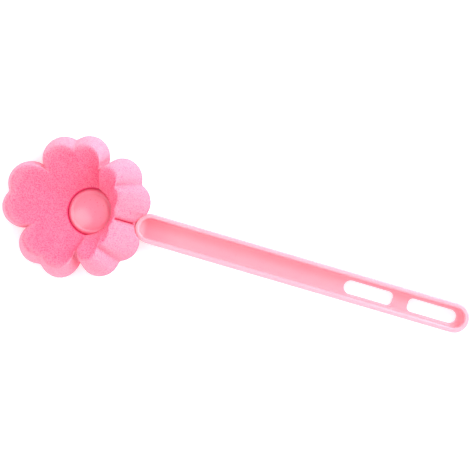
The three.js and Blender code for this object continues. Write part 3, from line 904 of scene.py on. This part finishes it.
def foam_sheet(angle, foam, handle, button):
    """The bent sheet's back edge and front edge as rings of points, with the shares that shape the rest.

    The back edge is the flower's outline, set off from the button, swollen and turned on its far
    side, and lifted beside the handle. The front edge lies a sheet's thickness from it: it leans in
    over the button, most where the bar pushes it. Both keep off the bar's nose.
    """
    rim = button.diameter / 2
    bar = handle.bar_width / 2
    nose_centre = handle.nose_x + bar
    nose_radius = bar + foam.nose_gap
    foam_back = handle.seat_thickness + CLEARANCE
    within, tilt = petal_angles(angle, foam)
    near = (1 + np.cos(tilt)) / 2
    far = np.maximum(-np.cos(angle), 0) ** foam.far_sharpness
    by_nose = np.cos(angle) > np.cos(foam.nose_reach)
    pressed = np.where(by_nose, handle.nose_x - foam.shift - foam.nose_gap, 0)
    radius = np.maximum(flower_radius(angle, foam), pressed)
    share = (radius - rim) / (foam.lobe_centre + foam.lobe_radius - rim)
    bearing = angle + foam.twist * far
    out = np.column_stack([np.cos(bearing), np.sin(bearing), np.zeros_like(angle)])
    lift = foam.back_lift + foam.handle_lift * near ** foam.lift_sharpness

    back = out * (radius * (1 + foam.swell * far))[:, None]
    back[:, 0] += foam.shift
    back[:, 2] = foam_back + lift * share
    lean = out * -(foam.lean + foam.lean_swing * np.cos(tilt))[:, None]
    lean[:, 0] -= foam.push * ((1 + np.cos(angle)) / 2) ** foam.push_sharpness
    leaned = keep_off(back + lean * (share ** foam.lean_share)[:, None], 0, rim + foam.button_gap)
    front_edge = keep_off(leaned, nose_centre, nose_radius)
    rise = np.sqrt(np.maximum(foam.thickness ** 2 - (lean ** 2).sum(axis=1), foam.least_rise ** 2))
    lip_height = handle.spigot_top + foam.lip
    tip_height = foam_back + lift + rise
    front_edge[:, 2] = lip_height + (tip_height - lip_height) * (1 - (1 - share) ** foam.dish)
    return SimpleNamespace(
        angle=angle, within=within, near=near, radius=radius, share=share, out=out, by_nose=by_nose,
        nose_centre=nose_centre, nose_radius=nose_radius, front_edge=front_edge,
        back_edge=keep_off(back, nose_centre, nose_radius))


def raised_fold(sheet, foam):
    """Where a raised petal folds over its flatter neighbour, one petal's pitch from the handle.

    Gives each column's angle past the fold, its share on the raised side, and the fold's height: a
    smooth step, up on the raised side and down beside it, that fades away from the fold.
    """
    past = np.abs((sheet.angle + np.pi) % TURN - np.pi) - TURN / foam.petals
    raised = 0.5 - 0.5 * np.tanh(past / FOLD_BLEND)
    strength = foam.fold * (FOLD_EVEN + FOLD_SWING * np.sign(np.sin(sheet.angle)))
    up = raised * fading(-past, FOLD_RISE_REACH)
    down = FOLD_DROP * (1 - raised) * fading(past, FOLD_DROP_REACH)
    return past, raised, strength * (up - down)


def foam_strips(sheet, fold_height, foam, handle, button):
    """Rows of the foam's surface, strip by strip, and the length of its front along each column.

    They run out along the back, up the bulging cut edge, in along the dished front, over the lip
    beside the button and down the hole. Each row is a ring of points over the angles.
    """
    rim = button.diameter / 2
    hole = handle.spigot_diameter / 2 + CLEARANCE
    foam_back = handle.seat_thickness + CLEARANCE
    back_edge, front_edge = sheet.back_edge, sheet.front_edge
    facing = np.arctan2(back_edge[:, 1], back_edge[:, 0])
    spokes = np.column_stack([np.cos(facing), np.sin(facing), np.zeros_like(facing)])
    up = np.array([0, 0, 1])
    over = (foam.overhang * np.maximum(np.cos(facing), 0) ** OVERHANG_SPREAD)[:, None]

    hole_low = spokes * hole + up * foam_back
    seat_edge = spokes * (handle.seat_diameter / 2 + CLEARANCE) + up * foam_back
    lip = spokes * (rim + foam.button_gap - over) + up * (handle.spigot_top + foam.lip + LIP_RISE * over)
    wall_height = handle.spigot_top + CLEARANCE + WALL_HEIGHT * button.rim
    wall_top = spokes * (rim + WALL_GAP * CLEARANCE) + up * (wall_height + WALL_RISE * over)
    wall_foot = spokes * (rim + CLEARANCE) + up * handle.spigot_top
    hole_top = spokes * hole + up * handle.spigot_top

    front_radius = foam.front_radius + (foam.edge_radius - foam.front_radius) * sheet.near * NEAR_SHARPER
    back_in = toward(back_edge, seat_edge, foam.edge_radius)
    side_low = toward(back_edge, front_edge, foam.edge_radius)
    side_high = toward(front_edge, back_edge, front_radius)
    front_span = np.maximum(np.linalg.norm(front_edge - lip, axis=1), 2 * front_radius)
    part_in = 1 - front_radius / front_span

    front = []
    for t in np.linspace(1, 0, FRONT_ROWS + 1):
        part = part_in * t
        row = lip + (front_edge - lip) * part[:, None]
        dished = 1 - (1 - part) ** foam.dish
        row[:, 2] = lip[:, 2] + (front_edge[:, 2] - lip[:, 2]) * dished + fold_height * 4 * part * (1 - part)
        front.append(row)
    side = []
    for t in np.linspace(0, 1, SIDE_ROWS + 1)[1:]:
        row = side_low + (side_high - side_low) * t
        row = row + sheet.out * (foam.bulge * sheet.share * 4 * t * (1 - t))[:, None]
        side.append(keep_off(row, sheet.nose_centre, sheet.nose_radius))
    strips = {
        "under": straight_rows(hole_low, seat_edge, UNDER_ROWS),
        "back": straight_rows(seat_edge, back_in, BACK_ROWS, first=False),
        "back_corner": corner_rows(back_in, back_edge, side_low, BACK_CORNER_ROWS),
        "side": side,
        "front_corner": corner_rows(side_high, front_edge, front[0], FRONT_CORNER_ROWS),
        "front": front[1:],
        "lip": straight_rows(lip, wall_top, LIP_ROWS, first=False),
        "wall": straight_rows(wall_top, wall_foot, WALL_ROWS, first=False),
        "ledge": straight_rows(wall_foot, hole_top, LEDGE_ROWS, first=False),
        "hole": straight_rows(hole_top, hole_low, HOLE_ROWS, first=False)[:-1],
    }
    return strips, front_span


def foam_shares(strips, front_span, sheet, past_fold, raised):
    """Shares of each point that colour the foam: die-cut surface, painted crevice shade and painted crimson
    shade.

    The cut edge is all cut. Its share also paints a highlight on the front's edges, fading inwards, and on
    the edge of a fold. The painted crevice shade lies beside the fold on its flatter side. The painted
    crimson shade lies on the foam round the button.
    """
    columns = len(sheet.angle)
    cut = {key: np.zeros((len(rows), columns)) for key, rows in strips.items()}
    crevice = {key: np.zeros((len(rows), columns)) for key, rows in strips.items()}
    deep = {key: np.zeros((len(rows), columns)) for key, rows in strips.items()}
    inward = np.linspace(1, 0, FRONT_ROWS + 1)[1:, None]
    middle = 4 * inward * (1 - inward)
    edge_highlight = EDGE_HIGHLIGHT - EDGE_HIGHLIGHT_SWING * sheet.near
    edge_highlight_fade = EDGE_HIGHLIGHT_FADE + EDGE_HIGHLIGHT_FADE_SWING * (1 - sheet.near)
    cut["back_corner"] += np.linspace(0, 1, BACK_CORNER_ROWS)[:, None]
    cut["side"] += 1
    # The front corner and the front's edges take the paler cut pink as a painted highlight, fading inwards
    cut["front_corner"] += 1 - np.linspace(0, 1, FRONT_CORNER_ROWS)[:, None] ** 2 * (1 - edge_highlight)
    cut["front"] += edge_highlight * np.exp(-(1 - inward) * front_span / edge_highlight_fade)
    # Painted highlight on the raised edge of a fold
    cut["front"] += FOLD_HIGHLIGHT * middle * raised * fading(-past_fold, FOLD_HIGHLIGHT_REACH)
    # Painted shade in the crevice beside the fold
    crevice["front"] += middle * (1 - raised) * fading(past_fold, FOLD_SHADE_REACH)
    # Painted crimson shade on the foam round the button
    deep["front"][-1] = LIP_SHADE
    for key, shade_amount in {"lip": 1.0, "wall": 1.0, "ledge": HOLE_SHADE, "hole": HOLE_SHADE}.items():
        deep[key] += shade_amount
    return [np.concatenate(list(shares.values())) for shares in (cut, crevice, deep)]


def crease_depth(strips, cut, sheet, foam):
    """Depth of the creases between raised lobes as a share: it falls off to both sides of each notch.

    They are where the foam is cut, and deepest beside the handle. The one at the bar's nose is deeper
    and narrower. Those between one petal's own lobes are shallower, wider and fade towards the back.
    """
    half_pitch = TURN / foam.petals / 2
    notch = np.round(sheet.angle / half_pitch) * half_pitch
    from_notch = np.abs(sheet.angle - notch) * sheet.radius
    at_nose = np.exp(-(from_notch / NOSE_CREASE) ** 2) * sheet.by_nose
    # Columns nearer to the notch in a petal's tip than to the petal's borders
    in_petal = np.abs(sheet.within) < 0.25
    facing = (1 + np.cos(sheet.angle)) ** 2 / 4
    depth = facing * np.where(in_petal, foam.seam_depth, 1 + NOSE_DEEPER * at_nose)
    width = foam.groove_width * np.where(in_petal, foam.seam_width, 1 - NOSE_NARROWER * at_nose)
    fade = {key: np.ones(len(rows)) for key, rows in strips.items()}
    for key in ("under", "back", "back_corner"):
        fade[key] *= foam.seam_fade
    fade["side"] = np.linspace(foam.seam_fade, 1, SIDE_ROWS)
    fade = np.concatenate(list(fade.values()))[:, None]
    return cut * depth * np.exp(-from_notch / width) * np.where(in_petal, fade, 1)


def lattice_noise(cells, salt):
    """Three repeatable numbers from 0 to 1 for each whole-number cell, from a sine hash."""
    wave = np.sin(cells @ HASH_WAVES + salt) * HASH_SPREAD
    return wave - np.floor(wave)


def nearest_cell(points, spacing, salt=0.0):
    """Distance to the nearest of a field of scattered points, one in each cube of the given spacing."""
    scaled = points / spacing
    home = np.floor(scaled)
    best = np.full(len(points), np.inf)
    for offset in np.ndindex(3, 3, 3):
        cell = home + np.array(offset) - 1
        away = np.linalg.norm(cell + lattice_noise(cell, salt) - scaled, axis=1)
        best = np.minimum(best, away)
    return best


def grid_normals(rows):
    """Outward normals of rows of rings, from the cross product of the two grid directions."""
    around = np.roll(rows, -1, axis=1) - np.roll(rows, 1, axis=1)
    along = np.roll(rows, -1, axis=0) - np.roll(rows, 1, axis=0)
    normal = np.cross(around, along)
    return normal / np.maximum(np.linalg.norm(normal, axis=2, keepdims=True), NO_AREA)


def sponge_mesh(foam, handle, button, material):
    """The foam flower: its rows joined into a closed surface, then sunk along its normals.

    Points sink in the creases and, away from the button, in the open cells: pits round scattered
    points, with finer ones between. The shares that colour it are stored as attributes.
    """
    count = 2 * foam.petals * COLUMNS_PER_LOBE
    angle = np.pi / foam.petals + np.arange(count) * TURN / count
    sheet = foam_sheet(angle, foam, handle, button)
    past_fold, raised, fold_height = raised_fold(sheet, foam)
    strips, front_span = foam_strips(sheet, fold_height, foam, handle, button)
    cut, crevice, deep = foam_shares(strips, front_span, sheet, past_fold, raised)
    crease = crease_depth(strips, cut, sheet, foam).ravel()
    rows = np.concatenate([np.stack(strip) for strip in strips.values()])
    points = rows.reshape(-1, 3)

    pit = np.clip(1 - nearest_cell(points, foam.pore) / PIT_RADIUS, 0, 1) ** PIT_ROUNDNESS
    fine = np.clip(1 - nearest_cell(points, FINE_SPACING * foam.pore, FINE_SALT) / FINE_RADIUS, 0, 1)
    open_cells = np.linalg.norm(points[:, :2], axis=1) >= button.diameter / 2 + SMOOTH_BY_BUTTON
    depth = foam.pore_depth * (pit + FINE_DEPTH * fine) * open_cells + foam.groove * crease
    sunk = points - grid_normals(rows).reshape(-1, 3) * depth[:, None]
    piece = link_mesh("sponge", sunk, grid_faces(*rows.shape[:2], wrap_rows=True), material)
    # Painted crimson shade in the deepest creases
    crease_shade = CREASE_SHADE * np.clip(crease - CREASE_SHADE_START, 0, 1)
    shares = {
        "pore": np.clip(PIT_TONE * pit + FINE_TONE * fine, 0, 1) * open_cells,
        "cut": cut.ravel() * (1 - np.minimum(crease, 1) ** 2),
        "crevice": crevice.ravel(),
        "deep": np.maximum(deep.ravel(), crease_shade),
    }
    for key, values in shares.items():
        store = piece.data.attributes.new(key, "FLOAT", "POINT")
        store.data.foreach_set("value", values)
    return piece


class CUPBRUSH_OT_handle(bpy.types.Operator):
    """Builds the moulded handle in place of its plain solid"""
    bl_idname = "cupbrush.handle"
    bl_label = "Handle"

    def execute(self, context):
        handle = measures(context.scene.cup_brush.handle)
        plastic = polypropylene("moulded_polypropylene_handle", handle, trough=True)
        piece = handle_mesh(handle, plastic)
        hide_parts("handle")
        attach(piece, "handle")
        return {"FINISHED"}


class CUPBRUSH_OT_sponge(bpy.types.Operator):
    """Builds the foam flower in place of its plain solid"""
    bl_idname = "cupbrush.sponge"
    bl_label = "Sponge"

    def execute(self, context):
        foam = measures(context.scene.cup_brush.sponge)
        handle = measures(context.scene.cup_brush.handle)
        button = measures(context.scene.cup_brush.button)
        piece = sponge_mesh(foam, handle, button, polyurethane_foam("open_cell_polyurethane_foam", foam))
        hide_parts("sponge")
        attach(piece, "sponge")
        return {"FINISHED"}


class CUPBRUSH_OT_button(bpy.types.Operator):
    """Builds the domed press-in button in place of its plain solid"""
    bl_idname = "cupbrush.button"
    bl_label = "Button"

    def execute(self, context):
        button = measures(context.scene.cup_brush.button)
        handle = measures(context.scene.cup_brush.handle)
        piece = button_mesh(button, handle, polypropylene("moulded_polypropylene_button", button))
        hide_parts("button")
        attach(piece, "button")
        return {"FINISHED"}


def add_light(name, size, place, power, aim):
    """A square soft light that faces a point."""
    data = bpy.data.lights.new(name, "AREA")
    data.size = size * MM
    data.energy = power
    light = bpy.data.objects.new(name, data)
    bpy.context.scene.collection.objects.link(light)
    light.location = place * MM
    light.rotation_euler = Vector(aim - place).to_track_quat("-Z", "Y").to_euler()
    return light


def light_tent(side, top):
    """World light of a white tent: brighter round the sides than overhead."""
    world = bpy.data.worlds.new("light_tent")
    world.use_nodes = True
    tree = world.node_tree
    tree.nodes.clear()
    ray = add_node(tree, "ShaderNodeTexCoord").outputs["Generated"]
    height = add_node(tree, "ShaderNodeSeparateXYZ", {"Vector": ray}).outputs["Z"]
    level = add_node(tree, "ShaderNodeMapRange", {"Value": height, "To Min": side, "To Max": top})
    light = add_node(tree, "ShaderNodeBackground", {"Strength": level.outputs["Result"]})
    add_node(tree, "ShaderNodeOutputWorld", {"Surface": light.outputs["Background"]})
    return world


def add_camera(stage, rim):
    """A camera that looks straight down, its field as wide as the picture's points at the bar's rim."""
    data = bpy.data.cameras.new("camera")
    data.lens = data.sensor_width * stage.distance / (PICTURE_SIDE * stage.pixel)
    camera = bpy.data.objects.new("camera", data)
    bpy.context.scene.collection.objects.link(camera)
    camera.location = (stage.aim + (0, 0, rim + stage.distance)) * MM
    camera.rotation_euler = (0, 0, stage.roll)
    return camera


class CUPBRUSH_OT_stage(bpy.types.Operator):
    """Builds the floor, the studio light and the camera"""
    bl_idname = "cupbrush.stage"
    bl_label = "Studio"

    def execute(self, context):
        stage = measures(context.scene.cup_brush.stage)
        rim = measures(context.scene.cup_brush.handle).bar_height
        corners = stage.floor_reach * np.array([(-1, -1, 0), (1, -1, 0), (1, 1, 0), (-1, 1, 0)])
        floor = link_mesh("floor", corners, [(0, 1, 2, 3)], white_board("white_studio_board", stage))
        context.scene.world = light_tent(stage.tent_side, stage.tent_top)
        add_light("key_light", stage.key_size, stage.key_place, stage.key_power, stage.aim)
        panel = add_light("reflected_panel", stage.panel_size, stage.panel_place, stage.panel_power,
                          stage.panel_aim)
        panel.visible_diffuse = False
        context.scene.camera = add_camera(stage, rim)
        context.scene.view_settings.view_transform = "Standard"
        return {"FINISHED"}


class CupBrushSettings(bpy.types.PropertyGroup):
    """All settings of the cup brush and its studio"""
    handle: bpy.props.PointerProperty(type=HandleSettings)
    sponge: bpy.props.PointerProperty(type=SpongeSettings)
    button: bpy.props.PointerProperty(type=ButtonSettings)
    stage: bpy.props.PointerProperty(type=StageSettings)


OPERATORS = {
    "handle": CUPBRUSH_OT_handle,
    "sponge": CUPBRUSH_OT_sponge,
    "button": CUPBRUSH_OT_button,
    "stage": CUPBRUSH_OT_stage,
}


class CUPBRUSH_PT_panel(bpy.types.Panel):
    """Lists the pieces and the studio, each with its settings"""
    bl_label = "Cup brush"
    bl_idname = "CUPBRUSH_PT_panel"
    bl_space_type = "VIEW_3D"
    bl_region_type = "UI"
    bl_category = "Cup brush"

    def draw(self, context):
        for key, operator in OPERATORS.items():
            box = self.layout.box()
            box.operator(operator.bl_idname)
            group = getattr(context.scene.cup_brush, key)
            for name in type(group).__annotations__:
                box.prop(group, name)


CLASSES = (HandleSettings, SpongeSettings, ButtonSettings, StageSettings, CupBrushSettings,
           *OPERATORS.values(), CUPBRUSH_PT_panel)


def register():
    """Registers the classes and puts the settings on the scene."""
    for cls in CLASSES:
        bpy.utils.register_class(cls)
    bpy.types.Scene.cup_brush = bpy.props.PointerProperty(type=CupBrushSettings)


def unregister():
    """Takes the settings off the scene and unregisters the classes."""
    del bpy.types.Scene.cup_brush
    for cls in reversed(CLASSES):
        bpy.utils.unregister_class(cls)


def main():
    """Builds the pieces and the studio."""
    register()
    bpy.ops.cupbrush.handle()
    bpy.ops.cupbrush.sponge()
    bpy.ops.cupbrush.button()
    bpy.ops.cupbrush.stage()


if __name__ == "__main__":
    main()
